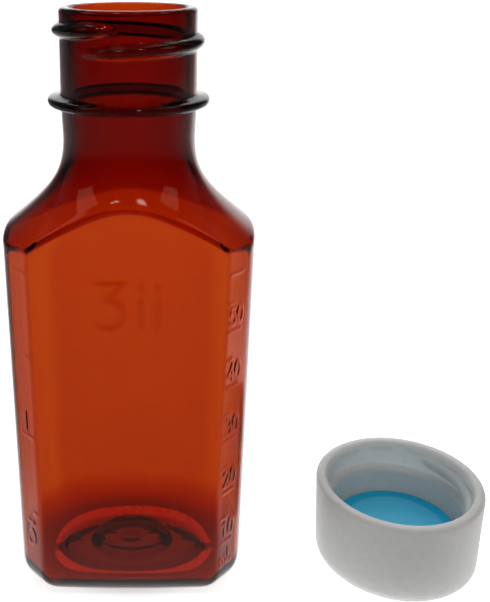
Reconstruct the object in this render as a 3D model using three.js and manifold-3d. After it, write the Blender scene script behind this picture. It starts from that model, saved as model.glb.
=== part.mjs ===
// Amber oblong medicine bottle of 60 ml, standing open, with its white screw cap beside it.
// The cap stands on its closed end, open side up, and holds a blue liner disc.
// Millimetres, +Z up. The bottle's flat front faces -Y. The origin is under the middle of the whole.
import * as THREE from 'three';
import { mergeVertices } from 'three/addons/utils/BufferGeometryUtils.js';
import Module from 'manifold-3d';

const wasm = await Module();
wasm.setup();

// Heights of the bottle, from the table up to the rim
const BODY_HEIGHT = 62.0;
const SHOULDER_RISE = 14.6;
const WAIST_TO_RING = 5.8;
const FINISH_HEIGHT = 14.4;

// Oblong body: the flat front, the two slanting graduated panels, the round sides and the full back
const FRONT_DEPTH = 13.3;
const BACK_DEPTH = 17.0;
const FRONT_PANEL_HALF = 14.1;
const SIDE_PANEL_RUN = 3.1;
const SIDE_PANEL_DEPTH = 3.5;
const SIDE_BULGE = 1.6;
const SIDE_TAPER = 0.0225;
const BACK_FULLNESS = 0.72;
const BACK_FLAT_HALF = 1.2;
const PANEL_EDGE_CUT = 0.8;
const HEEL_RADIUS = 5.0;
const FOOT_FULLNESS = 2.4;
const BODY_WALL = 0.8;

// Base: an oval recess, pushed up further in the middle
const BASE_WALL = 1.5;
const RECESS_HALF_X = 11.9;
const RECESS_HALF_Y = 6.4;
const RECESS_RISE = 1.0;
const PUSH_UP_HALF_X = 5.95;
const PUSH_UP_HALF_Y = 3.7;
const PUSH_UP_RISE = 1.6;

// Shoulder and neck, turned about the neck's axis
const SHOULDER_SLOPE = 1.22;
const FLARE_ROUNDNESS = 0.42;
const WAIST_INSET = 0.25;
const NECK_RADIUS = 10.8;
const NECK_WALL = 1.7;
const LIP_RADIUS = 0.7;
const RING_REACH = 2.0;
const RING_THICKNESS = 1.8;

// Thread, right-handed, on the neck and in the cap
const THREAD_PITCH = 3.175;
const THREAD_HEIGHT = 1.15;
const THREAD_HALF_WIDTH = 1.2;
const THREAD_TURNS = 1.1;
const THREAD_BELOW_RIM = 6.3;
const THREAD_START_DEGREES = -131;
const THREAD_SEAT = 0.3;
const THREAD_RUN_OUT = 0.09;
const THREAD_FULLNESS = 0.8;
const THREAD_END_RISE = 0.1;
const THREAD_END_WIDTH = 0.5;

// Screw cap
const CAP_GAP = 12.6;
const CAP_FORWARD = 0.5;
const CAP_HEIGHT = 14.6;
const CAP_SKIRT_WALL = 1.9;
const CAP_TAPER = 0.4;
const CAP_END_RADIUS = 1.9;
const CAP_RIM_ROUND = 0.7;
const CAP_SEAT_HEIGHT = 4.2;
const CAP_STEP_BELOW_RIM = 4.4;
const CAP_STEP_FALL = 1.2;
const CAP_NECK_CLEARANCE = 0.3;
const CAP_THREAD_CLEARANCE = 0.55;
const CAP_THREAD_BITE = 1.3;
const CAP_THREAD_TURNS = 1.0;
const CAP_THREAD_BELOW_RIM = 2.6;
const CAP_THREAD_TOP_DEGREES = 60;

// Liner disc
const LINER_THICKNESS = 1.0;
const LINER_CLEARANCE = 0.3;

// Faces round a circle and the share of a face that they start at, then faces along a long curve,
// in a small rounding and along a turn of thread, what a cut reaches past the shape that it cuts,
// and how near two corners lie to be one
const TURN_FACES = 48;
const TURN_START = 0.31;
const CURVE_FACES = 9;
const ROUND_FACES = 3;
const THREAD_FACES = 40;
const CUT_MARGIN = 1;
const WELD_DISTANCE = 1e-4;

// Angle, heights and radii that follow from the driving values
const FACE_ANGLE = (2 * Math.PI) / TURN_FACES;
const FLARE_TOP = BODY_HEIGHT + SHOULDER_RISE;
const RING_HEIGHT = FLARE_TOP + WAIST_TO_RING;
const BOTTLE_HEIGHT = RING_HEIGHT + FINISH_HEIGHT;
const FOOT_HALF_WIDTH = FRONT_PANEL_HALF + SIDE_PANEL_RUN + SIDE_BULGE;
const TOP_HALF_WIDTH = FOOT_HALF_WIDTH + SIDE_TAPER * BODY_HEIGHT;
const CAP_BORE_RADIUS = NECK_RADIUS + THREAD_HEIGHT + CAP_THREAD_CLEARANCE;
const CAP_RIM_RADIUS = CAP_BORE_RADIUS + CAP_SKIRT_WALL;
const CAP_SOCKET_RADIUS = NECK_RADIUS + CAP_NECK_CLEARANCE;

// The cap's place beside the bottle, and the bottle's place that puts the origin mid-way
const CAP_X = TOP_HALF_WIDTH + CAP_GAP + CAP_RIM_RADIUS;
const FOREMOST = Math.max(FRONT_DEPTH, CAP_RIM_RADIUS + CAP_FORWARD);
const BOTTLE_X = (TOP_HALF_WIDTH - CAP_X - CAP_RIM_RADIUS) / 2;
const BOTTLE_Y = (FOREMOST - BACK_DEPTH) / 2;

// Colours and gloss follow the photograph
const amber = new THREE.MeshStandardMaterial({ color: 0xa03000, roughness: 0.08, metalness: 0 });
const white = new THREE.MeshStandardMaterial({ color: 0xc8c8c6, roughness: 0.5, metalness: 0 });
const blue = new THREE.MeshStandardMaterial({ color: 0x2a90b8, roughness: 0.45, metalness: 0 });

// Turns a closed geometry into a solid.
function solid(geometry) {
  const bare = geometry.clone();
  bare.deleteAttribute('normal');
  bare.deleteAttribute('uv');
  const merged = mergeVertices(bare, WELD_DISTANCE);
  const vertProperties = new Float32Array(merged.attributes.position.array);
  const triVerts = new Uint32Array(merged.index.array);
  return new wasm.Manifold(new wasm.Mesh({ numProp: 3, vertProperties, triVerts }));
}

// Turns a solid back into a geometry for a mesh.
function geometryOf(body) {
  const mesh = body.getMesh();
  const geometry = new THREE.BufferGeometry();
  geometry.setAttribute('position', new THREE.BufferAttribute(mesh.vertProperties, 3));
  geometry.setIndex(new THREE.BufferAttribute(mesh.triVerts, 1));
  geometry.computeVertexNormals();
  return geometry;
}

// Turns a profile about the upright axis. It runs from the foot, up the outside, to the axis.
// Its corners start a little off the axes, clear of the corners of the outlines it meets.
function turned(profile) {
  const geometry = new THREE.LatheGeometry(profile, TURN_FACES);
  return geometry.rotateX(Math.PI / 2).rotateZ(TURN_START * FACE_ANGLE);
}

// A point of a profile or outline.
function at(x, y) {
  return new THREE.Vector2(x, y);
}

// Points of a round corner of a profile, about its centre, between two angles in degrees.
function corner(centreR, centreZ, radius, from, to) {
  const turn = THREE.MathUtils.degToRad;
  const curve = new THREE.EllipseCurve(centreR, centreZ, radius, radius, turn(from), turn(to));
  return curve.getPoints(ROUND_FACES);
}

// The body's outline at its foot, right half then left half, moved inwards by a wall.
// It has no corner on the middle line, where a flat cut through the middle would meet it.
function outlinePoints(inset) {
  const crease = at(FRONT_PANEL_HALF + SIDE_PANEL_RUN, SIDE_PANEL_DEPTH - FRONT_DEPTH);
  const panel = at(SIDE_PANEL_RUN, SIDE_PANEL_DEPTH).normalize();
  const frontEdge = at(FRONT_PANEL_HALF, -FRONT_DEPTH);
  const edge = new THREE.QuadraticBezierCurve(
    at(FRONT_PANEL_HALF - PANEL_EDGE_CUT, -FRONT_DEPTH),
    frontEdge,
    frontEdge.clone().addScaledVector(panel, PANEL_EDGE_CUT),
  );
  const side = new THREE.QuadraticBezierCurve(
    crease,
    at(FOOT_HALF_WIDTH, crease.y + SIDE_BULGE),
    at(FOOT_HALF_WIDTH, 0),
  );
  const back = new THREE.CubicBezierCurve(
    at(FOOT_HALF_WIDTH, 0),
    at(FOOT_HALF_WIDTH, BACK_DEPTH * BACK_FULLNESS),
    at(FOOT_HALF_WIDTH * BACK_FULLNESS, BACK_DEPTH),
    at(BACK_FLAT_HALF, BACK_DEPTH),
  );
  const right = [
    ...edge.getPoints(ROUND_FACES),
    ...side.getPoints(ROUND_FACES),
    ...back.getPoints(CURVE_FACES).slice(1),
  ];
  const left = right.map((point) => at(-point.x, point.y)).reverse();
  const outline = right.concat(left);
  return outline.map((point, i) => {
    const before = outline[(i + outline.length - 1) % outline.length];
    const after = outline[(i + 1) % outline.length];
    const along = after.clone().sub(before).normalize();
    return at(point.x - along.y * inset, point.y + along.x * inset);
  });
}

// How far the foot's edge, a full oval, reaches from the axis in the direction of a point.
function footReach(point) {
  const halfX = FOOT_HALF_WIDTH - HEEL_RADIUS;
  const halfY = (point.y < 0 ? FRONT_DEPTH : BACK_DEPTH) - HEEL_RADIUS;
  const length = point.length();
  const shareX = Math.abs(point.x / length / halfX) ** FOOT_FULLNESS;
  const shareY = Math.abs(point.y / length / halfY) ** FOOT_FULLNESS;
  return (shareX + shareY) ** (-1 / FOOT_FULLNESS);
}

// The body as an upright column, growing wider sideways towards the top. Its rounded heel draws
// the outline in to the foot's oval. The column stands on the height floor and runs past the rim,
// where the turned shape cuts it.
function column(inset, floor) {
  const heel = HEEL_RADIUS - inset;
  const levels = Array.from({ length: ROUND_FACES + 1 }, (_, i) => {
    const angle = (Math.PI / 2) * (i / ROUND_FACES);
    return { height: floor + heel * (1 - Math.cos(angle)), drawn: 1 - Math.sin(angle) };
  });
  levels.push({ height: BOTTLE_HEIGHT + CUT_MARGIN, drawn: 0 });
  const shape = new THREE.Shape(outlinePoints(inset));
  const steps = levels.length - 1;
  const geometry = new THREE.ExtrudeGeometry(shape, { depth: steps, steps, bevelEnabled: false });
  const place = geometry.attributes.position;
  for (let i = 0; i < place.count; i += 1) {
    const level = levels[Math.round(place.getZ(i))];
    const flat = at(place.getX(i), place.getY(i));
    flat.multiplyScalar(THREE.MathUtils.lerp(1, footReach(flat) / flat.length(), level.drawn));
    const widen = 1 + (SIDE_TAPER * level.height) / FOOT_HALF_WIDTH;
    place.setXYZ(i, flat.x * widen, flat.y, level.height);
  }
  return solid(geometry);
}

// The flare of the shoulder, from the body's corner in to the waist, moved inwards by two walls.
function flarePoints(bodyWall, neckWall) {
  const foot = at(TOP_HALF_WIDTH - bodyWall, BODY_HEIGHT - bodyWall);
  const head = at(NECK_RADIUS - WAIST_INSET - neckWall, FLARE_TOP);
  const handle = FLARE_ROUNDNESS * (head.y - foot.y);
  const flare = new THREE.CubicBezierCurve(
    foot,
    at(foot.x - handle * SHOULDER_SLOPE, foot.y + handle),
    at(head.x, head.y - handle),
    head,
  );
  const overhang = TOP_HALF_WIDTH / 2;
  return [
    at(0, -CUT_MARGIN),
    at(foot.x + overhang, -CUT_MARGIN),
    at(foot.x + overhang, foot.y - overhang / SHOULDER_SLOPE),
    ...flare.getPoints(CURVE_FACES),
  ];
}

// The turned outside: shoulder, support ring, neck and rounded lip.
function turnedOutside() {
  const ringEdge = RING_THICKNESS / 2;
  const lipR = NECK_RADIUS - LIP_RADIUS;
  return solid(turned([
    ...flarePoints(0, 0),
    at(NECK_RADIUS, RING_HEIGHT - ringEdge),
    ...corner(NECK_RADIUS + RING_REACH - ringEdge, RING_HEIGHT, ringEdge, -90, 0),
    ...corner(NECK_RADIUS + RING_REACH - ringEdge, RING_HEIGHT, ringEdge, 0, 90).slice(1),
    at(NECK_RADIUS, RING_HEIGHT + ringEdge),
    ...corner(lipR, BOTTLE_HEIGHT - LIP_RADIUS, LIP_RADIUS, 0, 90),
    at(0, BOTTLE_HEIGHT),
  ]));
}

// The turned inside: the same flare within its walls, and the straight bore of the neck.
function turnedInside() {
  const boreR = NECK_RADIUS - NECK_WALL;
  return solid(turned([
    ...flarePoints(BODY_WALL, NECK_WALL),
    at(boreR, RING_HEIGHT),
    at(boreR, BOTTLE_HEIGHT + CUT_MARGIN),
    at(0, BOTTLE_HEIGHT + CUT_MARGIN),
  ]));
}

// The two steps pressed up under the base. With a wall they are the hump on the inside.
function pushUp(wall) {
  const steps = [
    { x: RECESS_HALF_X, y: RECESS_HALF_Y, top: RECESS_RISE },
    { x: PUSH_UP_HALF_X, y: PUSH_UP_HALF_Y, top: RECESS_RISE + PUSH_UP_RISE },
  ];
  const humps = steps.map(({ x, y, top }) => {
    const shrink = 1 - top / (x + wall);
    const foot = [at(0, -CUT_MARGIN), at(1, -CUT_MARGIN), at(1, wall)];
    const geometry = turned([...foot, at(shrink, wall + top), at(0, wall + top)]);
    return solid(geometry.scale(x + wall, y + wall, 1));
  });
  return humps[0].add(humps[1]);
}

// A helical ridge on a round wall. It stands out from the wall by rise, or inwards below zero.
// An outward ridge is swept downwards, an inward one upwards, which keeps its faces pointing out.
function threadRidge({ radius, rise, turns, startDegrees, startHeight }) {
  const outward = Math.sign(rise);
  const section = new THREE.Shape();
  section.moveTo(0, -THREAD_HALF_WIDTH);
  section.quadraticCurveTo(1, -THREAD_FULLNESS * THREAD_HALF_WIDTH, 1, 0);
  section.quadraticCurveTo(1, THREAD_FULLNESS * THREAD_HALF_WIDTH, 0, THREAD_HALF_WIDTH);
  const steps = Math.round(THREAD_FACES * turns);
  const options = { depth: 1, steps, bevelEnabled: false, curveSegments: ROUND_FACES };
  const geometry = new THREE.ExtrudeGeometry(section, options);
  const place = geometry.attributes.position;
  const root = radius - outward * THREAD_SEAT;
  for (let i = 0; i < place.count; i += 1) {
    const along = outward > 0 ? 1 - place.getZ(i) : place.getZ(i);
    const grown = THREE.MathUtils.smoothstep(Math.min(along, 1 - along), 0, THREAD_RUN_OUT);
    const full = THREE.MathUtils.lerp(THREAD_END_RISE, 1, grown);
    const reach = root + (rise + outward * THREAD_SEAT) * place.getX(i) * full;
    const angle = THREE.MathUtils.degToRad(startDegrees + along * turns * 360);
    const width = place.getY(i) * THREE.MathUtils.lerp(THREAD_END_WIDTH, 1, grown);
    const height = startHeight + along * turns * THREAD_PITCH + width;
    place.setXYZ(i, reach * Math.cos(angle), reach * Math.sin(angle), height);
  }
  return solid(geometry);
}

// The bottle is one blown piece: body, base, shoulder, support ring, threaded neck and lip.
function bottleGeometry() {
  const outside = column(0, 0).intersect(turnedOutside()).subtract(pushUp(0));
  const inside = column(BODY_WALL, BASE_WALL).intersect(turnedInside()).subtract(pushUp(BASE_WALL));
  const ridge = threadRidge({
    radius: NECK_RADIUS,
    rise: THREAD_HEIGHT,
    turns: THREAD_TURNS,
    startDegrees: THREAD_START_DEGREES,
    startHeight: BOTTLE_HEIGHT - THREAD_BELOW_RIM,
  });
  return geometryOf(outside.add(ridge).subtract(inside));
}

// The cap is one moulded piece: a slightly tapered skirt with a thread inside its wide mouth,
// and below a step the narrower socket for the neck's rim, down to the liner's seat.
function capGeometry() {
  const endR = CAP_RIM_RADIUS - CAP_TAPER - CAP_END_RADIUS;
  const rimZ = CAP_HEIGHT - CAP_RIM_ROUND;
  const stepTop = CAP_HEIGHT - CAP_STEP_BELOW_RIM;
  const shell = solid(turned([
    at(0, 0),
    ...corner(endR, CAP_END_RADIUS, CAP_END_RADIUS, -90, 0),
    ...corner(CAP_RIM_RADIUS - CAP_RIM_ROUND, rimZ, CAP_RIM_ROUND, 0, 90),
    ...corner(CAP_BORE_RADIUS + CAP_RIM_ROUND, rimZ, CAP_RIM_ROUND, 90, 180),
    at(CAP_BORE_RADIUS, stepTop),
    at(CAP_SOCKET_RADIUS, stepTop - CAP_STEP_FALL),
    at(CAP_SOCKET_RADIUS, CAP_SEAT_HEIGHT),
    at(0, CAP_SEAT_HEIGHT),
  ]));
  const ridge = threadRidge({
    radius: CAP_BORE_RADIUS,
    rise: -CAP_THREAD_BITE,
    turns: CAP_THREAD_TURNS,
    startDegrees: CAP_THREAD_TOP_DEGREES - CAP_THREAD_TURNS * 360,
    startHeight: CAP_HEIGHT - CAP_THREAD_BELOW_RIM - CAP_THREAD_TURNS * THREAD_PITCH,
  });
  return geometryOf(shell.add(ridge));
}

// The liner lies flat on its seat, clear of the socket all round.
function linerGeometry() {
  const radius = CAP_SOCKET_RADIUS - LINER_CLEARANCE;
  const low = CAP_SEAT_HEIGHT;
  const high = CAP_SEAT_HEIGHT + LINER_THICKNESS;
  return geometryOf(solid(turned([at(0, low), at(radius, low), at(radius, high), at(0, high)])));
}

const bottle = new THREE.Mesh(bottleGeometry(), amber);
bottle.name = 'bottle';
bottle.position.set(BOTTLE_X, BOTTLE_Y, 0);

const cap = new THREE.Mesh(capGeometry(), white);
cap.name = 'screw_cap';

const liner = new THREE.Mesh(linerGeometry(), blue);
liner.name = 'cap_liner';

const capAssembly = new THREE.Group();
capAssembly.position.set(BOTTLE_X + CAP_X, BOTTLE_Y - CAP_FORWARD, 0);
capAssembly.add(cap, liner);

const group = new THREE.Group();
group.name = 'medicine_bottle';
group.add(bottle, capAssembly);

export default group;
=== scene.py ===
import math

import bpy
import numpy as np
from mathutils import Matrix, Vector


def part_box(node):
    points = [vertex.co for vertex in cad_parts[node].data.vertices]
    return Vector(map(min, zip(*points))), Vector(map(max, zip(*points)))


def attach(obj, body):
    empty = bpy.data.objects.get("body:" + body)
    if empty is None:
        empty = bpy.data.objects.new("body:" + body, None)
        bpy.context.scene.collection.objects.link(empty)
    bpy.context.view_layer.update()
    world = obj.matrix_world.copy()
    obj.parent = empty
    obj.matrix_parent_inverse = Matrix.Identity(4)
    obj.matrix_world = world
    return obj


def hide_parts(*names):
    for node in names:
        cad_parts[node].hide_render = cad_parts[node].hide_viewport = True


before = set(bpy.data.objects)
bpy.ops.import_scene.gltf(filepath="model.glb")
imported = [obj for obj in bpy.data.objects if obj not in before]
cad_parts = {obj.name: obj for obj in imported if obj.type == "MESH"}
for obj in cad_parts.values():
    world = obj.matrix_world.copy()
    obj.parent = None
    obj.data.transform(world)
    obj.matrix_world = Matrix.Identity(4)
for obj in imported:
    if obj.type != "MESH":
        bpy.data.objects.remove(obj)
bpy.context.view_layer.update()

# Looks of the amber medicine bottle, its white screw cap and the cap's blue liner. Places and sizes
# of the pieces are in millimetres until their mesh is made, those of lights and stage in metres.

MM = 0.001


def place_of(node):
    """The middle of a node's box on the table, in millimetres."""
    low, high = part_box(node)
    return (low[0] + high[0]) / 2 / MM, (low[1] + high[1]) / 2 / MM


# Sizes of the bottle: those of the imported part, and those of detail that only the looks have
FRONT_DEPTH = 13.3
BACK_DEPTH = 17.0
BODY_HEIGHT = 62.0
FLARE_TOP = 76.6
RING_HEIGHT = 82.4
BOTTLE_HEIGHT = 96.8
FRONT_PANEL_HALF = 14.1
SIDE_PANEL_RUN = 3.1
SIDE_PANEL_DEPTH = 3.5
SIDE_BULGE = 1.6
SIDE_TAPER = 0.0225
BACK_FULLNESS = 0.72
PANEL_EDGE_CUT = 0.8
HEEL_RADIUS = 5.0
FOOT_FULLNESS = 2.4
BODY_WALL = 0.8
SIDE_THINNING = 0.27
THINNING_STARTS = 13.0
THINNING_ENDS = 15.5
BASE_WALL = 1.5
SHOULDER_SLOPE = 1.22
FLARE_ROUNDNESS = 0.42
WAIST_INSET = 0.25
NECK_RADIUS = 10.8
NECK_WALL = 1.7
LIP_RADIUS = 0.7
RING_REACH = 2.0
RING_THICKNESS = 1.8
RING_FILLET = 0.25
RING_ROUNDNESS = 3.2
RECESS = (11.9, 6.4, 1.0)
PUSH_UP = (5.95, 3.7, 1.6)
STEP_RUN = 0.8
STEP_SHARES = np.linspace(0.06, 1.06, 7)
RECESS_EDGE_GAP = 0.1
PUSH_UP_EDGE_GAPS = [(2.2, 1.32), (0.2, 0.12)]
PUSH_UP_SHARES = (0.9, 0.75, 0.6, 0.4, 0.2, 0.08)
NUB_DEPTH = 0.35
NUB_RADIUS = 1.2
NUB_FOOT_RADIUS = 2.1
SEAM_RISE = 0.12
SEAM_START = 2.4
SEAM_HALF_FLAT = 0.1
SEAM_HALF_FOOT = 0.45
FOOT_HALF_WIDTH = FRONT_PANEL_HALF + SIDE_PANEL_RUN + SIDE_BULGE
TOP_HALF_WIDTH = FOOT_HALF_WIDTH + SIDE_TAPER * BODY_HEIGHT

# Threads, right-handed
THREAD_PITCH = 3.175
THREAD_HEIGHT = 1.15
THREAD_HALF_WIDTH = 1.2
THREAD_TURNS = 1.1
THREAD_START_DEGREES = -131
THREAD_BELOW_RIM = 6.3
THREAD_FULLNESS = 0.8
THREAD_END_WIDTH = 0.55
THREAD_RUN_OUT = 30.0

# Cap and liner
CAP_HEIGHT = 14.6
CAP_BORE_RADIUS = 12.5
CAP_RIM_RADIUS = 14.4
CAP_TAPER = 0.4
CAP_END_RADIUS = 1.9
CAP_SEAT_HEIGHT = 4.2
CAP_SOCKET_RADIUS = 11.1
CAP_STEP_TOP = 10.2
CAP_STEP_FALL = 1.2
CAP_THREAD_TURNS = 1.0
CAP_THREAD_TOP_DEGREES = 60
CAP_THREAD_BELOW_RIM = 2.6
CAP_THREAD_BITE = 1.3
CAP_THREAD_HALF_WIDTH = 1.1
CAP_THREAD_RUN_OUT = 18.0
CAP_RIM_ROUND = 0.75
CAP_BORE_ROUND = 0.6
CAP_CORNER_ROUND = 0.2
CAP_THREAD_BLEND = 0.3
CAP_END_HOLLOW = 0.12
LINER_RADIUS = 10.8
LINER_THICKNESS = 1.0
LINER_EDGE_ROUND = 0.25
LINER_GROOVE = 0.1
RIM_BEAD = 0.35
RIM_BEAD_PITCH = 30.0
RIM_BEAD_BELOW_RIM = 1.3
RIM_BEAD_SHARES = (0.22, 0.38)
RIM_BEAD_HALF_HEIGHTS = (0.1, 0.6)

# Spacing and columns of the fine mesh
ROW_STEP = 0.28
THREAD_ROW_STEP = 0.2
CAP_ROW_STEP = 0.15
MARK_STEP = 0.13
SIGN_STEP = 0.35
FRONT_STEP = 0.9
CAP_COLUMNS = 200
LINER_COLUMNS = 160

# Rounding where the turned shoulder cuts the body, outside and inside, and inside the lip
CORNER_BLEND = 0.6
INNER_BLEND = 0.8
INNER_LIP = 0.7

# Embossed marks: a stroke's height and width, then the sizes and places of lines, digits and signs
RELIEF = 0.14
STROKE = 0.25
STROKE_FLAT = 0.35
STROKE_FOOT = 1.25
SIGN_ADVANCE = 0.72
DIGIT_BREADTH = 0.85
DIGIT_HEIGHT = 2.8
DIGIT_RISE = 1.1
DIGIT_ASIDE = 0.25
MILLILITRE_LINES = 6
MILLILITRE_FIRST = 10.5
MILLILITRE_PITCH = 9.42
MILLILITRE_LINE = (-1.5, 1.3)
MILLILITRE_DASH = (-1.5, -0.5)
UNIT_HEIGHT = 2.5
UNIT_DROP = 4.2
UNIT_ASIDE = 0.1
OUNCE_FIRST = 30.0
OUNCE_PITCH = 27.9
OUNCE_LINE = (-1.4, 1.5)
OUNCE_DASH = (0.5, 1.5)
OUNCE_DIGIT_HEIGHT = 3.0
OUNCE_DIGIT_RISE = 1.0
OUNCE_SIGN_HEIGHT = 4.2
OUNCE_SIGN_DROP = 6.2
FRONT_SIGN_ASIDE = 0.7
FRONT_SIGN_HALF = 7
FRONT_SIGN_FOOT = 49.1
FRONT_SIGN_HEIGHT = 7.2
FRONT_SIGN_STROKE = 0.5
FRONT_SIGN_RELIEF = 0.18
MARKS_IN_FRONT_OF = -8

BOTTLE_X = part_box("bottle")[0][0] / MM + TOP_HALF_WIDTH
BOTTLE_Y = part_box("bottle")[0][1] / MM + FRONT_DEPTH
CAP_X, CAP_Y = place_of("screw_cap")


def smoothstep(value, low, high):
    """A soft step from 0 at low to 1 at high."""
    share = np.clip((value - low) / (high - low), 0, 1)
    return share * share * (3 - 2 * share)


def smooth_min(first, second, blend):
    """The smaller of two values, rounded where they are close."""
    near = np.maximum(blend - np.abs(first - second), 0)
    return np.minimum(first, second) - near * near / (4 * blend)


def bezier(points, count):
    """Points along a Bezier curve of any order."""
    points = np.array(points, float)
    order = len(points) - 1
    t = np.linspace(0, 1, count)[:, None]
    return sum(math.comb(order, k) * (1 - t) ** (order - k) * t ** k * points[k]
               for k in range(order + 1))


def line(first, last, step):
    """Evenly spaced points from one to another."""
    count = max(2, round(math.dist(first, last) / step) + 1)
    return np.linspace(first, last, count)


def outline():
    """The body's outline at the foot, from the middle of the front round by the right."""
    crease = np.array([FRONT_PANEL_HALF + SIDE_PANEL_RUN, SIDE_PANEL_DEPTH - FRONT_DEPTH])
    panel = np.array([SIDE_PANEL_RUN, SIDE_PANEL_DEPTH])
    panel = panel / np.linalg.norm(panel)
    corner = np.array([FRONT_PANEL_HALF, -FRONT_DEPTH])
    before = corner - [PANEL_EDGE_CUT, 0]
    after = corner + panel * PANEL_EDGE_CUT
    side = np.array([FOOT_HALF_WIDTH, crease[1] + SIDE_BULGE])
    parts = [
        line((0, -FRONT_DEPTH), (FRONT_SIGN_HALF, -FRONT_DEPTH), SIGN_STEP),
        line((FRONT_SIGN_HALF, -FRONT_DEPTH), before, FRONT_STEP),
        bezier([before, corner, after], 7),
        line(after, crease, MARK_STEP),
        bezier([crease, side, (FOOT_HALF_WIDTH, 0)], 12),
        bezier([(FOOT_HALF_WIDTH, 0), (FOOT_HALF_WIDTH, BACK_DEPTH * BACK_FULLNESS),
                (FOOT_HALF_WIDTH * BACK_FULLNESS, BACK_DEPTH), (0, BACK_DEPTH)], 26),
    ]
    right = np.concatenate([part[:-1] for part in parts] + [parts[-1][-1:]])
    left = right[1:-1][::-1] * [-1, 1]
    return np.concatenate([right, left])


OUTLINE = outline()


def inward(points, distance):
    """An outline moved inwards along its normals."""
    along = np.roll(points, -1, 0) - np.roll(points, 1, 0)
    along /= np.linalg.norm(along, axis=1)[:, None]
    return points + np.stack([-along[:, 1], along[:, 0]], 1) * distance


def flare_radius(heights, body_wall, neck_wall):
    """The turned radius of shoulder and neck at each height."""
    foot = np.array([TOP_HALF_WIDTH - body_wall, BODY_HEIGHT - body_wall])
    head = np.array([NECK_RADIUS - WAIST_INSET - neck_wall, FLARE_TOP])
    handle = FLARE_ROUNDNESS * (head[1] - foot[1])
    curve = bezier([foot, foot + [-handle * SHOULDER_SLOPE, handle], head - [0, handle], head], 90)
    overhang = 30
    below = foot + np.array([overhang, -overhang / SHOULDER_SLOPE])
    neck = NECK_RADIUS - neck_wall
    radii = np.concatenate([[below[0]], curve[:, 0], [neck, neck]])
    levels = np.concatenate([[below[1]], curve[:, 1], [RING_HEIGHT, BOTTLE_HEIGHT + 1]])
    return np.interp(heights, levels, radii)


def arc(x, y, rx, ry, start, end, count=14):
    """Points of an arc, in degrees."""
    turn = np.radians(np.linspace(start, end, count))
    return np.stack([x + rx * np.cos(turn), y + ry * np.sin(turn)], 1)


# Strokes of the signs, each a list of points in a box one unit high
SIGNS = {
    "0": [arc(0.3, 0.5, 0.26, 0.5, 0, 360, 25)],
    "1": [[(0.12, 0.8), (0.32, 1.0), (0.32, 0.0)]],
    "2": [np.concatenate([arc(0.3, 0.74, 0.26, 0.26, 165, -40), [(0.04, 0.0), (0.58, 0.0)]])],
    "3": [np.concatenate([arc(0.28, 0.75, 0.24, 0.25, 150, -80),
                          arc(0.28, 0.27, 0.28, 0.27, 80, -150)])],
    "4": [[(0.46, 0.0), (0.46, 1.0), (0.02, 0.3), (0.62, 0.3)]],
    "5": [np.concatenate([[(0.54, 1.0), (0.12, 1.0), (0.08, 0.55)],
                          arc(0.28, 0.32, 0.28, 0.32, 110, -150)])],
    "m": [[(0.04, 0.0), (0.04, 0.6)], arc(0.2, 0.42, 0.16, 0.18, 180, 0, 9), [(0.36, 0.42), (0.36, 0.0)],
          arc(0.52, 0.42, 0.16, 0.18, 180, 0, 9), [(0.68, 0.42), (0.68, 0.0)]],
    "L": [[(0.06, 1.0), (0.06, 0.0), (0.5, 0.0)]],
    "i": [[(0.1, 0.0), (0.1, 0.62)], [(0.1, 0.86), (0.1, 0.96)]],
    "ounce_sign": [[(0.06, 1.0), (0.56, 1.0), (0.2, 0.62)],
                   np.concatenate([[(0.2, 0.62)], arc(0.26, 0.3, 0.3, 0.32, 75, -140)])],
}
ADVANCE = {"m": 0.86, "L": 0.6, "i": 0.34, "ounce_sign": 0.8}


def text_strokes(signs, x, y, height, breadth=1.0):
    """Segments of a row of signs whose foot is at y, as pairs of points."""
    widths = [ADVANCE.get(sign, SIGN_ADVANCE) * height * breadth for sign in signs]
    start = x - sum(widths) / 2
    found = []
    for sign, width in zip(signs, widths):
        for stroke in SIGNS[sign]:
            points = np.array(stroke) * [height * breadth, height] + [start, y]
            found += list(zip(points[:-1], points[1:]))
        start += width
    return found


def relief_of(across, up, strokes, width=STROKE, height=RELIEF):
    """How far a soft raised stroke stands out at each place."""
    nearest = np.full(across.shape, np.inf)
    for first, last in strokes:
        along = np.array(last) - first
        share = ((across - first[0]) * along[0] + (up - first[1]) * along[1]) / (along @ along)
        share = np.clip(share, 0, 1)
        away = np.hypot(across - first[0] - share * along[0], up - first[1] - share * along[1])
        nearest = np.minimum(nearest, away)
    return height * (1 - smoothstep(nearest, width * STROKE_FLAT, width * STROKE_FOOT))


def level_line(ends, level):
    """A level stroke between two places across a panel."""
    return (ends[0], level), (ends[1], level)


def right_marks():
    """Millilitre marks: a line every 10 ml with its number above it, and a dash half-way."""
    unit_foot = MILLILITRE_FIRST - UNIT_DROP
    strokes = text_strokes("mL", UNIT_ASIDE, unit_foot, UNIT_HEIGHT, DIGIT_BREADTH)
    for k in range(MILLILITRE_LINES):
        level = MILLILITRE_FIRST + MILLILITRE_PITCH * k
        strokes.append(level_line(MILLILITRE_LINE, level))
        if k + 1 < MILLILITRE_LINES:
            strokes += text_strokes(
                str(k + 1) + "0", DIGIT_ASIDE, level + DIGIT_RISE, DIGIT_HEIGHT, DIGIT_BREADTH)
            strokes.append(level_line(MILLILITRE_DASH, level + MILLILITRE_PITCH / 2))
    return strokes


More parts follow.
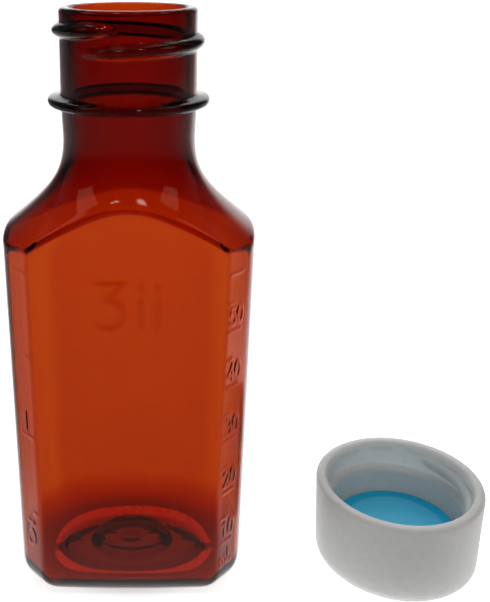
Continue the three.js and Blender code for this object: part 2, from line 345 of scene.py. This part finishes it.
def left_marks():
    """Ounce marks: lines at one and two ounces, and a dash half-way up to each."""
    strokes = text_strokes("1", 0.0, OUNCE_FIRST + OUNCE_DIGIT_RISE, OUNCE_DIGIT_HEIGHT)
    for level in (OUNCE_FIRST, OUNCE_FIRST + OUNCE_PITCH):
        strokes.append(level_line(OUNCE_LINE, level))
        strokes.append(level_line(OUNCE_DASH, level - OUNCE_PITCH / 2))
    sign_foot = OUNCE_FIRST - OUNCE_PITCH / 2 - OUNCE_SIGN_DROP
    return strokes + text_strokes(["ounce_sign"], 0.0, sign_foot, OUNCE_SIGN_HEIGHT, DIGIT_BREADTH)


def front_sign():
    """The faint generic measure sign high on the front."""
    return text_strokes(["ounce_sign", "i", "i"], FRONT_SIGN_ASIDE, FRONT_SIGN_FOOT, FRONT_SIGN_HEIGHT)


def thread_height(angle, up, start, turns, foot, half_width, run_out):
    """How much of a thread's ridge stands at an angle in degrees and a height, from 0 to 1."""
    full = np.zeros(np.broadcast(angle, up).shape)
    for lap in range(-3, 4):
        along = angle - start + 360 * lap
        axis = foot + THREAD_PITCH * along / 360
        end = turns * 360
        ends = smoothstep(along, 0, run_out) * (1 - smoothstep(along, end - run_out, end))
        width = half_width * (THREAD_END_WIDTH + (1 - THREAD_END_WIDTH) * ends)
        inside = np.clip(1 - ((up - axis) / width) ** 2, 0, 1)
        full = np.maximum(full, ends * inside ** THREAD_FULLNESS)
    return full


def grid_faces(rows, columns):
    """Quads between rows of a closed band of points."""
    r, c = np.meshgrid(np.arange(rows - 1), np.arange(columns), indexing="ij")
    n = (c + 1) % columns
    this, after = r * columns, (r + 1) * columns
    quads = np.stack([this + c, this + n, after + n, after + c], -1)
    return quads.reshape(-1, 4).tolist()


def mesh_object(name, points, faces):
    """A smooth piece from points in millimetres and its faces."""
    mesh = bpy.data.meshes.new(name)
    mesh.from_pydata((np.asarray(points) * MM).tolist(), [], faces)
    mesh.validate()
    mesh.update()
    mesh.shade_smooth()
    piece = bpy.data.objects.new(name, mesh)
    bpy.context.scene.collection.objects.link(piece)
    return piece


def push_up_height(x, y, wall):
    """Height of the base above its standing face, with the soft steps of the recess."""
    height = np.zeros(np.shape(x))
    for half_x, half_y, rise in (RECESS, PUSH_UP):
        reach = np.hypot(x / (half_x + wall), y / (half_y + wall))
        height += rise * (1 - smoothstep(reach, 1 - STEP_RUN / (half_y + wall), 1.0))
    return height


def base_rings(edge, wall):
    """Rings from the heel's inner edge to the middle of the base, outside or inside."""
    recess_x, recess_y = RECESS[0] + wall, RECESS[1] + wall
    push_x, push_y = PUSH_UP[0] + wall, PUSH_UP[1] + wall
    ovals = [(recess_x + RECESS_EDGE_GAP, recess_y + RECESS_EDGE_GAP)]
    ovals += [(recess_x - run, recess_y - run) for run in STEP_RUN * STEP_SHARES]
    ovals += [(push_x + gap_x, push_y + gap_y) for gap_x, gap_y in PUSH_UP_EDGE_GAPS]
    ovals += [(push_x - run, push_y - run) for run in STEP_RUN * STEP_SHARES]
    ovals += [((push_x - STEP_RUN) * share, (push_y - STEP_RUN) * share) for share in PUSH_UP_SHARES]
    angle = np.arctan2(edge[:, 1], edge[:, 0])
    rings = []
    for half_x, half_y in ovals:
        reach = 1 / np.hypot(np.cos(angle) / half_x, np.sin(angle) / half_y)
        rings.append(np.stack([np.cos(angle) * reach, np.sin(angle) * reach], 1))
    band = [edge + (rings[0] - edge) * share for share in (0.25, 0.5, 0.75)]
    found = []
    for ring in band + rings:
        height = push_up_height(ring[:, 0], ring[:, 1], wall)
        if not wall:
            height += base_relief(ring)
        found.append(np.column_stack([ring, height]))
    return found


def base_relief(ring):
    """The nub that hangs down in the middle under the base, and the raised parting line across it."""
    reach = np.hypot(ring[:, 0], ring[:, 1])
    nub = NUB_DEPTH * (1 - smoothstep(reach, NUB_RADIUS, NUB_FOOT_RADIUS))
    across = 1 - smoothstep(np.abs(ring[:, 1]), SEAM_HALF_FLAT, SEAM_HALF_FOOT)
    return SEAM_RISE * across * (reach > SEAM_START) - nub


def body_ring(height, drawn, wall):
    """One ring of the body's column, drawn in at the heel by a share towards the foot's oval."""
    at_sides = smoothstep(np.abs(OUTLINE[:, :1]), THINNING_STARTS, THINNING_ENDS)
    thinned = wall * (1 - SIDE_THINNING * at_sides)
    points = inward(OUTLINE, thinned)
    reach = np.hypot(points[:, 0], points[:, 1])
    half_x = FOOT_HALF_WIDTH - HEEL_RADIUS
    half_y = np.where(points[:, 1] < 0, FRONT_DEPTH, BACK_DEPTH) - HEEL_RADIUS
    shares = np.abs(points[:, 0] / reach / half_x) ** FOOT_FULLNESS
    shares += np.abs(points[:, 1] / reach / half_y) ** FOOT_FULLNESS
    foot = shares ** (-1 / FOOT_FULLNESS)
    points = points * (1 - drawn + drawn * foot / reach)[:, None]
    points[:, 0] *= 1 + SIDE_TAPER * height / FOOT_HALF_WIDTH
    return points


def panel_places(side):
    """Places of the outline's points across one slanting panel, from its middle."""
    along = np.array([SIDE_PANEL_RUN, SIDE_PANEL_DEPTH])
    along = along / np.linalg.norm(along)
    middle = np.array([FRONT_PANEL_HALF + SIDE_PANEL_RUN / 2, SIDE_PANEL_DEPTH / 2 - FRONT_DEPTH])
    offset = OUTLINE * [side, 1] - middle
    return (offset @ along) * side


def outer_rows():
    """Heights of the outer wall's rings, close together where there is relief."""
    heel = [HEEL_RADIUS * (1 - math.cos(a)) for a in np.linspace(0, math.pi / 2, 12)]
    body = list(np.arange(HEEL_RADIUS + ROW_STEP, BODY_HEIGHT + 8.5, ROW_STEP))
    shoulder = list(np.linspace(BODY_HEIGHT + 8.8, RING_HEIGHT - 1.3, 30))
    ring = list(RING_HEIGHT + 1.2 * np.sin(np.linspace(-math.pi / 2, math.pi / 2, 19)))
    neck = list(np.linspace(RING_HEIGHT + 1.5, RING_HEIGHT + 4.6, 5))
    thread = list(np.arange(RING_HEIGHT + 4.9, BOTTLE_HEIGHT - LIP_RADIUS - 0.1, THREAD_ROW_STEP))
    lip = [BOTTLE_HEIGHT - LIP_RADIUS * (1 - math.sin(a)) for a in np.linspace(0, math.pi / 2, 7)]
    return heel + body + shoulder + ring + neck + thread + lip


def bottle_rings():
    """Rings of the whole wall: base, outside, lip, inside and floor."""
    rings = base_rings(body_ring(0, 1.0, 0), 0)[::-1]
    across_right = panel_places(1)
    across_left = panel_places(-1)
    marks_right, marks_left, sign = right_marks(), left_marks(), front_sign()
    half_panel = math.hypot(SIDE_PANEL_RUN, SIDE_PANEL_DEPTH) / 2
    ahead = OUTLINE[:, 1] < MARKS_IN_FRONT_OF
    is_right = (np.abs(across_right) < half_panel) & (OUTLINE[:, 0] > 0) & ahead
    is_left = (np.abs(across_left) < half_panel) & (OUTLINE[:, 0] < 0) & ahead
    is_front = (np.abs(OUTLINE[:, 0]) < FRONT_SIGN_HALF + 1) & ahead
    for height in outer_rows():
        rise = min(height / HEEL_RADIUS, 1)
        drawn = 1 - math.sqrt(1 - (1 - rise) ** 2)
        ring = body_ring(height, drawn, 0)
        reach = np.hypot(ring[:, 0], ring[:, 1])
        turned = float(flare_radius(height, 0, 0))
        radius = smooth_min(reach, turned, CORNER_BLEND)
        if height < BODY_HEIGHT:
            radius[is_right] += relief_of(across_right[is_right], height, marks_right)
            radius[is_left] += relief_of(across_left[is_left], height, marks_left)
            radius[is_front] += relief_of(
                OUTLINE[is_front, 0], height, sign, FRONT_SIGN_STROKE, FRONT_SIGN_RELIEF)
        angle = np.degrees(np.arctan2(ring[:, 1], ring[:, 0]))
        radius += ring_reach(height) + THREAD_HEIGHT * thread_height(
            angle, height, THREAD_START_DEGREES, THREAD_TURNS,
            BOTTLE_HEIGHT - THREAD_BELOW_RIM, THREAD_HALF_WIDTH, THREAD_RUN_OUT)
        radius -= lip_cut(height, LIP_RADIUS)
        ring = ring * (radius / reach)[:, None]
        rings.append(np.column_stack([ring, np.full(len(ring), height)]))
    return rings + inner_rings()


def lip_cut(height, rounding):
    """How far a round edge of the lip draws a wall back at a height."""
    above = max(0, height - BOTTLE_HEIGHT + rounding)
    return rounding - math.sqrt(max(0, rounding ** 2 - above ** 2))


def ring_reach(height):
    """How far the support ring, with a fillet above and below, stands out at a height."""
    face, foot = 0.95, 1.33
    off = abs(height - RING_HEIGHT) / (RING_THICKNESS / 2)
    if off >= foot:
        return 0.0
    if off > face:
        return RING_FILLET * (1 - (off - face) / (foot - face)) ** 2
    return RING_FILLET + (RING_REACH - RING_FILLET) * (1 - off ** RING_ROUNDNESS) ** 0.5


def inner_rings():
    """Rings of the inside, from the lip down to the floor."""
    levels = [BOTTLE_HEIGHT - INNER_LIP * (1 - math.cos(a)) for a in np.linspace(0, math.pi / 2, 7)][1:]
    levels += list(np.linspace(BOTTLE_HEIGHT - 1, FLARE_TOP, 14))
    levels += list(np.linspace(FLARE_TOP - 0.6, BODY_HEIGHT - 4, 34))
    heel = HEEL_RADIUS - BODY_WALL
    levels += list(np.linspace(BODY_HEIGHT - 5, BASE_WALL + heel + 0.4, 24))
    levels += [BASE_WALL + heel * (1 - math.sin(a)) for a in np.linspace(0, math.pi / 2, 14)]
    rings = []
    for height in levels:
        rise = min(max(height - BASE_WALL, 0) / heel, 1)
        drawn = 1 - math.sqrt(1 - (1 - rise) ** 2)
        ring = body_ring(height, drawn, BODY_WALL)
        reach = np.hypot(ring[:, 0], ring[:, 1])
        turned = float(flare_radius(height, BODY_WALL, NECK_WALL))
        radius = smooth_min(reach, turned, INNER_BLEND) + lip_cut(height, INNER_LIP)
        ring = ring * (radius / reach)[:, None]
        rings.append(np.column_stack([ring, np.full(len(ring), height)]))
    floor = base_rings(rings[-1][:, :2], BASE_WALL)
    return rings + [ring + [0, 0, BASE_WALL] for ring in floor]


def build_bottle():
    """The whole bottle as one closed shell."""
    return closed_shell("amber_bottle", bottle_rings(), BOTTLE_X, BOTTLE_Y)


def turned_rings(profile, columns):
    """Rings of a profile of [radius, height] pairs."""
    angle = np.linspace(0, 2 * math.pi, columns, endpoint=False)
    return [np.stack([r * np.cos(angle), r * np.sin(angle), np.full(columns, z)], 1) for r, z in profile]


def rounded(centre_r, centre_z, radius, start, end, count=7):
    """Pairs of a rounding in a profile, in degrees."""
    turn = np.radians(np.linspace(start, end, count))
    return [(centre_r + radius * math.cos(t), centre_z + radius * math.sin(t)) for t in turn]


def closed_shell(name, rings, x, y):
    """A piece whose first and last rings close on the axis."""
    columns = len(rings[0])
    middles = [[0, 0, ring[:, 2].mean()] for ring in (rings[0], rings[-1])]
    points = np.concatenate(rings + [middles])
    faces = grid_faces(len(rings), columns)
    first_middle = len(points) - 2
    last = (len(rings) - 1) * columns
    for c in range(columns):
        n = (c + 1) % columns
        faces.append([first_middle, n, c])
        faces.append([first_middle + 1, last + c, last + n])
    return mesh_object(name, points + [x, y, 0], faces)


def build_cap():
    """The cap: skirt, closed end, rounded rim, bore with its thread and small beads at the rim."""
    foot = CAP_RIM_RADIUS - CAP_TAPER
    rim, mouth, corner = CAP_RIM_ROUND, CAP_BORE_ROUND, CAP_CORNER_ROUND
    profile = [(r, CAP_END_HOLLOW * (r / 12) ** 4) for r in (0.5, 4, 8, 10, 11)]
    profile += rounded(foot - CAP_END_RADIUS, CAP_END_RADIUS, CAP_END_RADIUS, -80, 0, 9)
    profile += [(foot + CAP_TAPER * s, CAP_END_RADIUS + (CAP_HEIGHT - CAP_END_RADIUS - rim) * s)
                for s in (0.2, 0.4, 0.6, 0.8)]
    profile += rounded(CAP_RIM_RADIUS - rim, CAP_HEIGHT - rim, rim, 0, 90)
    profile += rounded(CAP_BORE_RADIUS + mouth, CAP_HEIGHT - mouth, mouth, 95, 180)
    bore_starts = len(profile)
    levels = np.arange(CAP_HEIGHT - rim, CAP_SEAT_HEIGHT + 0.3, -CAP_ROW_STEP)
    socket = smoothstep(levels, CAP_STEP_TOP - CAP_STEP_FALL, CAP_STEP_TOP)
    profile += list(zip(CAP_SOCKET_RADIUS + (CAP_BORE_RADIUS - CAP_SOCKET_RADIUS) * socket, levels))
    bore_ends = len(profile)
    profile += rounded(CAP_SOCKET_RADIUS - corner, CAP_SEAT_HEIGHT + corner, corner, 0, -90, 4)
    profile += [(r, CAP_SEAT_HEIGHT) for r in (8, 4, 0.5)]
    rings = turned_rings(profile, CAP_COLUMNS)
    thread_start = CAP_THREAD_TOP_DEGREES - CAP_THREAD_TURNS * 360
    thread_foot = CAP_HEIGHT - CAP_THREAD_BELOW_RIM - CAP_THREAD_TURNS * THREAD_PITCH
    for ring in rings[bore_starts:bore_ends]:
        angle = np.degrees(np.arctan2(ring[:, 1], ring[:, 0]))
        radius = np.hypot(ring[:, 0], ring[:, 1])
        ridge = CAP_BORE_RADIUS - CAP_THREAD_BITE * thread_height(
            angle, ring[:, 2], thread_start, CAP_THREAD_TURNS, thread_foot,
            CAP_THREAD_HALF_WIDTH, CAP_THREAD_RUN_OUT)
        bumps = CAP_BORE_RADIUS - rim_bumps(angle, CAP_HEIGHT - ring[:, 2])
        inner = smooth_min(np.minimum(radius, bumps), ridge, CAP_THREAD_BLEND)
        ring[:, :2] *= (inner / radius)[:, None]
    return closed_shell("white_cap", rings, CAP_X, CAP_Y)


def rim_bumps(angle, below):
    """Small beads spaced round the rim's inner edge."""
    full, none = RIM_BEAD_SHARES
    off = np.abs((angle + RIM_BEAD_PITCH / 2) % RIM_BEAD_PITCH - RIM_BEAD_PITCH / 2)
    along = 1 - smoothstep(off, RIM_BEAD_PITCH * full, RIM_BEAD_PITCH * none)
    up = 1 - smoothstep(np.abs(below - RIM_BEAD_BELOW_RIM), *RIM_BEAD_HALF_HEIGHTS)
    return RIM_BEAD * along * up


def build_liner():
    """The liner disc, with a pressed ring and soft edges."""
    low = CAP_SEAT_HEIGHT
    high = low + LINER_THICKNESS
    edge = LINER_EDGE_ROUND
    groove = high - LINER_GROOVE
    profile = [(0.5, low), (6, low), (LINER_RADIUS - 0.2, low), (LINER_RADIUS, low + 0.2)]
    profile.append((LINER_RADIUS, high - edge))
    profile += rounded(LINER_RADIUS - edge, high - edge, edge, 30, 90, 4)
    profile += [(10.3, high), (10.1, high - 0.03), (9.9, groove), (9.0, groove), (8.8, high - 0.03)]
    profile += [(8.6, high), (6, high), (3, high), (0.5, high)]
    return closed_shell("blue_liner", turned_rings(profile, LINER_COLUMNS), CAP_X, CAP_Y)


def new_material(name):
    """A material with nodes, its shader and its output."""
    material = bpy.data.materials.new(name)
    material.use_nodes = True
    nodes = material.node_tree.nodes
    return material, nodes, material.node_tree.links, nodes["Principled BSDF"], nodes["Material Output"]


def add_bump(nodes, links, shader, scale, strength, distance, detail=3.0):
    """A fine uneven surface from noise."""
    place = nodes.new("ShaderNodeTexCoord")
    noise = nodes.new("ShaderNodeTexNoise")
    noise.inputs["Scale"].default_value = scale
    noise.inputs["Detail"].default_value = detail
    bump = nodes.new("ShaderNodeBump")
    bump.inputs["Strength"].default_value = strength
    bump.inputs["Distance"].default_value = distance
    links.new(place.outputs["Object"], noise.inputs["Vector"])
    links.new(noise.outputs["Fac"], bump.inputs["Height"])
    links.new(bump.outputs["Normal"], shader.inputs["Normal"])
    return noise


def amber_material():
    """Clear amber plastic: colour deepens with the thickness of the wall."""
    material, nodes, links, shader, output = new_material("amber_plastic")
    shader.inputs["Base Color"].default_value = (1, 1, 1, 1)
    shader.inputs["Roughness"].default_value = 0.03
    shader.inputs["IOR"].default_value = 1.5
    shader.inputs["Transmission Weight"].default_value = 1.0
    shader.inputs["Specular Tint"].default_value = (0.4, 0.36, 0.33, 1)
    volume = nodes.new("ShaderNodeVolumeAbsorption")
    volume.inputs["Color"].default_value = (0.835, 0.475, 0.0, 1)
    volume.inputs["Density"].default_value = 4200
    links.new(volume.outputs["Volume"], output.inputs["Volume"])
    add_bump(nodes, links, shader, 60, 0.15, 0.0004, 2.0)
    return material


def white_material():
    """White moulded plastic with a fine satin grain."""
    material, nodes, links, shader, _ = new_material("white_plastic")
    noise = add_bump(nodes, links, shader, 900, 0.12, 0.0001)
    tone = nodes.new("ShaderNodeValToRGB")
    tone.color_ramp.elements[0].color = (0.55, 0.57, 0.57, 1)
    tone.color_ramp.elements[1].color = (0.64, 0.65, 0.64, 1)
    links.new(noise.outputs["Fac"], tone.inputs["Fac"])
    links.new(tone.outputs["Color"], shader.inputs["Base Color"])
    shader.inputs["Roughness"].default_value = 0.42
    shader.inputs["Subsurface Weight"].default_value = 1.0
    shader.inputs["Subsurface Radius"].default_value = (1, 1, 1)
    shader.inputs["Subsurface Scale"].default_value = 0.006
    return material


def liner_material():
    """Blue liner, a darker blue ring round a lighter middle."""
    material, nodes, links, shader, _ = new_material("blue_liner")
    place = nodes.new("ShaderNodeTexCoord")
    shift = nodes.new("ShaderNodeVectorMath")
    shift.operation = "SUBTRACT"
    shift.inputs[1].default_value = (CAP_X * MM, CAP_Y * MM, (CAP_SEAT_HEIGHT + LINER_THICKNESS) * MM)
    reach = nodes.new("ShaderNodeVectorMath")
    reach.operation = "LENGTH"
    ramp = nodes.new("ShaderNodeValToRGB")
    links.new(place.outputs["Object"], shift.inputs[0])
    links.new(shift.outputs["Vector"], reach.inputs[0])
    share = math_node(nodes, links, "MULTIPLY", reach.outputs["Value"], 1 / (LINER_RADIUS * MM))
    links.new(share, ramp.inputs["Fac"])
    ramp.color_ramp.elements[0].position = 0.79
    ramp.color_ramp.elements[0].color = (0.07, 0.56, 0.88, 1)
    ramp.color_ramp.elements[1].position = 0.85
    ramp.color_ramp.elements[1].color = (0.004, 0.48, 0.82, 1)
    links.new(ramp.outputs["Color"], shader.inputs["Base Color"])
    shader.inputs["Roughness"].default_value = 0.35
    shader.inputs["Specular IOR Level"].default_value = 0.3
    add_bump(nodes, links, shader, 500, 0.1, 0.0002)
    return material


def dress(piece, node, material):
    """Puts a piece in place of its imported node."""
    piece.data.materials.append(material)
    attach(piece, "root")
    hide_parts(node)


# Camera: its principal point lies left of and above the middle, as the photograph was cropped
FRAME_WIDTH = 490
FRAME_HEIGHT = 602
FOCAL_PIXELS = 892.9
CENTRE_X = 155.2
CENTRE_Y = 172.9
CAMERA_PITCH = 14.49
CAMERA_BACK = 139.35
CAMERA_HEIGHT = 106.3
CAMERA_ASIDE = 4.16
SENSOR = 36.0


def make_camera():
    """The camera at the photograph's place."""
    data = bpy.data.cameras.new("camera")
    data.sensor_fit = "VERTICAL"
    data.sensor_height = SENSOR
    data.lens = FOCAL_PIXELS * SENSOR / FRAME_HEIGHT
    data.shift_x = (FRAME_WIDTH / 2 - CENTRE_X) / FRAME_HEIGHT
    data.shift_y = (CENTRE_Y - FRAME_HEIGHT / 2) / FRAME_HEIGHT
    data.clip_start = 0.01
    camera = bpy.data.objects.new("camera", data)
    camera.location = ((BOTTLE_X + CAMERA_ASIDE) * MM, (BOTTLE_Y - CAMERA_BACK) * MM, CAMERA_HEIGHT * MM)
    camera.rotation_euler = (math.radians(90 - CAMERA_PITCH), 0, 0)
    bpy.context.scene.collection.objects.link(camera)
    bpy.context.scene.camera = camera


def area_light(name, place, size, power, colour):
    """A soft square light that faces the pieces."""
    data = bpy.data.lights.new(name, "AREA")
    data.size = size
    data.energy = power
    data.color = colour
    light = bpy.data.objects.new(name, data)
    light.location = place
    light.rotation_euler = (Vector(LIGHT_TARGET) - Vector(place)).to_track_quat("-Z", "Y").to_euler()
    bpy.context.scene.collection.objects.link(light)


# Lights: the point that they face, then for each its name, place, size, power and colour
LIGHT_TARGET = (0, 0, 0.04)
WHITE = (1.0, 1.0, 1.0)
WARM = (1.0, 0.7, 0.5)
LIGHTS = [
    ("over", (0.0, 0.26, 0.55), 0.5, 1.0, WHITE),
    ("left_box", (-0.42, -0.12, 0.42), 0.22, 0.24, WARM),
    ("right_box", (0.40, -0.14, 0.44), 0.22, 0.24, WARM),
    ("left_spot", (-0.14, -0.28, 0.52), 0.08, 0.25, WHITE),
    ("right_spot", (0.10, -0.30, 0.52), 0.08, 0.25, WHITE),
]

# The floor's front end and half width, and the backdrop's place, bend and height
FLOOR_FRONT = -0.9
FLOOR_HALF_WIDTH = 2.0
BACKDROP_PLACE = 1.2
BACKDROP_BEND = 0.25
BACKDROP_HEIGHT = 1.6

# The floor's tone in front of and behind its edge, darker in front as painted shade, and the steps of
# its painted glow over a span of depth
PAINTED_SHADE_EDGE = (-0.045, -0.022)
PALE_AND_PAINTED_SHADE_TONES = (0.7, 0.92)
GLOW_SPAN = (-0.05, 0.6)
GLOW_FIRST = (0.01, 0.0)
GLOW_LAST = (1.0, 1.0)
GLOW_BETWEEN = [(0.046, 0.85), (0.2, 0.8)]

# The painted light on the floor and backdrop: a bright wedge with its tip in front of the bottle
WEDGE_TIP = 0.16
WEDGE_SLANT = 0.09
WEDGE_FULL = 0.35
WEDGE_END = 0.62

# Painted shadows under the bottle and the cap, where the painted glow is kept off the floor: middle,
# half sizes and the share kept
PAINTED_SHADOWS = [
    ((BOTTLE_X, BOTTLE_Y + (BACK_DEPTH - FRONT_DEPTH) / 2), (17.0, 13.0), 0.7),
    ((CAP_X, CAP_Y), (14.0, 14.0), 0.7),
]
PAINTED_SHADOW_EDGE = (0.85, 1.15)


def make_stage():
    """A pale floor that runs up behind into a backdrop, and soft light."""
    bend = BACKDROP_BEND
    bend_start = BACKDROP_PLACE - bend
    profile = [(FLOOR_FRONT, 0.0), (bend_start, 0.0)]
    profile += [(bend_start + bend * math.sin(a), bend * (1 - math.cos(a)))
                for a in np.linspace(0.1, math.pi / 2, 12)]
    profile.append((BACKDROP_PLACE, BACKDROP_HEIGHT))
    points = [(x, y, z) for y, z in profile for x in (-FLOOR_HALF_WIDTH, FLOOR_HALF_WIDTH)]
    faces = [(2 * i, 2 * i + 1, 2 * i + 3, 2 * i + 2) for i in range(len(profile) - 1)]
    floor = mesh_object("floor", np.array(points) / MM, faces)
    floor.data.materials.append(floor_material())
    make_world()
    for name, place, size, power, colour in LIGHTS:
        area_light(name, place, size, power, colour)


def painted_light_wedge(nodes, links, split):
    """Painted light: one inside a wedge that opens towards the back, and nothing well to its sides."""
    depth = math_node(nodes, links, "ADD", split.outputs["Y"], WEDGE_TIP)
    middle = math_node(nodes, links, "MULTIPLY", depth, WEDGE_SLANT)
    off = math_node(nodes, links, "SUBTRACT", split.outputs["X"], middle)
    aside = math_node(nodes, links, "ABSOLUTE", off, 0)
    share = math_node(nodes, links, "DIVIDE", aside, depth)
    return map_range(nodes, links, share, (WEDGE_FULL, WEDGE_END), (1.0, 0.0), "SMOOTHSTEP")


def painted_shadow_under(nodes, links, place, middle, half_sizes, kept):
    """A painted shadow: the share of the painted glow kept under a piece that stands on the floor, and
    one away from it.
    """
    shift = nodes.new("ShaderNodeVectorMath")
    shift.operation = "SUBTRACT"
    shift.inputs[1].default_value = (middle[0] * MM, middle[1] * MM, 0)
    scale = nodes.new("ShaderNodeVectorMath")
    scale.operation = "DIVIDE"
    scale.inputs[1].default_value = (half_sizes[0] * MM, half_sizes[1] * MM, 1)
    reach = nodes.new("ShaderNodeVectorMath")
    reach.operation = "LENGTH"
    links.new(place, shift.inputs[0])
    links.new(shift.outputs["Vector"], scale.inputs[0])
    links.new(scale.outputs["Vector"], reach.inputs[0])
    far = reach.outputs["Value"]
    return map_range(nodes, links, far, PAINTED_SHADOW_EDGE, (kept, 1.0), "SMOOTHSTEP")


def map_range(nodes, links, value, sources, results, kind="LINEAR"):
    """A value carried from one range to another and held at its ends."""
    node = nodes.new("ShaderNodeMapRange")
    node.interpolation_type = kind
    node.inputs["From Min"].default_value = sources[0]
    node.inputs["From Max"].default_value = sources[1]
    node.inputs["To Min"].default_value = results[0]
    node.inputs["To Max"].default_value = results[1]
    links.new(value, node.inputs["Value"])
    return node.outputs["Result"]


def math_node(nodes, links, operation, first, second):
    """One step of arithmetic between a socket and a socket or a value."""
    node = nodes.new("ShaderNodeMath")
    node.operation = operation
    links.new(first, node.inputs[0])
    if isinstance(second, bpy.types.NodeSocket):
        links.new(second, node.inputs[1])
    else:
        node.inputs[1].default_value = second
    return node.outputs["Value"]


def floor_material():
    """Pale floor and backdrop, painted darker towards the front as shade, with a painted glow behind the
    pieces and painted shadows under them.
    """
    material, nodes, links, shader, _ = new_material("pale_floor_painted_light")
    place = nodes.new("ShaderNodeTexCoord").outputs["Object"]
    split = nodes.new("ShaderNodeSeparateXYZ")
    links.new(place, split.inputs["Vector"])
    depth = split.outputs["Y"]
    # Painted shade: the floor's colour darkens towards the front, where it stands for shade.
    links.new(map_range(nodes, links, depth, PAINTED_SHADE_EDGE, PALE_AND_PAINTED_SHADE_TONES), shader.inputs["Base Color"])
    # Painted light: the floor and backdrop glow, more towards the back and inside a wedge behind the
    # pieces.
    glow = nodes.new("ShaderNodeValToRGB")
    steps = glow.color_ramp.elements
    for step, (share, level) in zip(steps, (GLOW_FIRST, GLOW_LAST)):
        step.position = share
        step.color = (level, level, level, 1)
    for share, level in GLOW_BETWEEN:
        steps.new(share).color = (level, level, level, 1)
    links.new(map_range(nodes, links, depth, GLOW_SPAN, (0.0, 1.0)), glow.inputs["Fac"])
    wedge = painted_light_wedge(nodes, links, split)
    strength = math_node(nodes, links, "MULTIPLY", glow.outputs["Color"], wedge)
    # Painted shadows: the glow is dimmed under the bottle and the cap.
    for painted_shadow_place in PAINTED_SHADOWS:
        shade = painted_shadow_under(nodes, links, place, *painted_shadow_place)
        strength = math_node(nodes, links, "MULTIPLY", strength, shade)
    links.new(strength, shader.inputs["Emission Strength"])
    shader.inputs["Emission Color"].default_value = (1, 1, 1, 1)
    shader.inputs["Roughness"].default_value = 0.8
    shader.inputs["Specular IOR Level"].default_value = 0.1
    return material


def make_world():
    """Soft surroundings: bright behind, dim in front."""
    world = bpy.data.worlds.new("world")
    world.use_nodes = True
    nodes = world.node_tree.nodes
    links = world.node_tree.links
    place = nodes.new("ShaderNodeTexCoord")
    split = nodes.new("ShaderNodeSeparateXYZ")
    ramp = nodes.new("ShaderNodeValToRGB")
    links.new(place.outputs["Generated"], split.inputs["Vector"])
    links.new(map_range(nodes, links, split.outputs["Y"], (-1, 1), (0, 1)), ramp.inputs["Fac"])
    ramp.color_ramp.elements[0].position = 0.5
    ramp.color_ramp.elements[0].color = (0.12, 0.12, 0.12, 1)
    ramp.color_ramp.elements[1].position = 0.95
    ramp.color_ramp.elements[1].color = (1, 1, 1, 1)
    links.new(ramp.outputs["Color"], nodes["Background"].inputs["Color"])
    nodes["Background"].inputs["Strength"].default_value = 0.25
    bpy.context.scene.world = world


make_camera()
dress(build_bottle(), "bottle", amber_material())
dress(build_cap(), "screw_cap", white_material())
dress(build_liner(), "cap_liner", liner_material())
make_stage()
bpy.context.scene.view_settings.view_transform = "Standard"
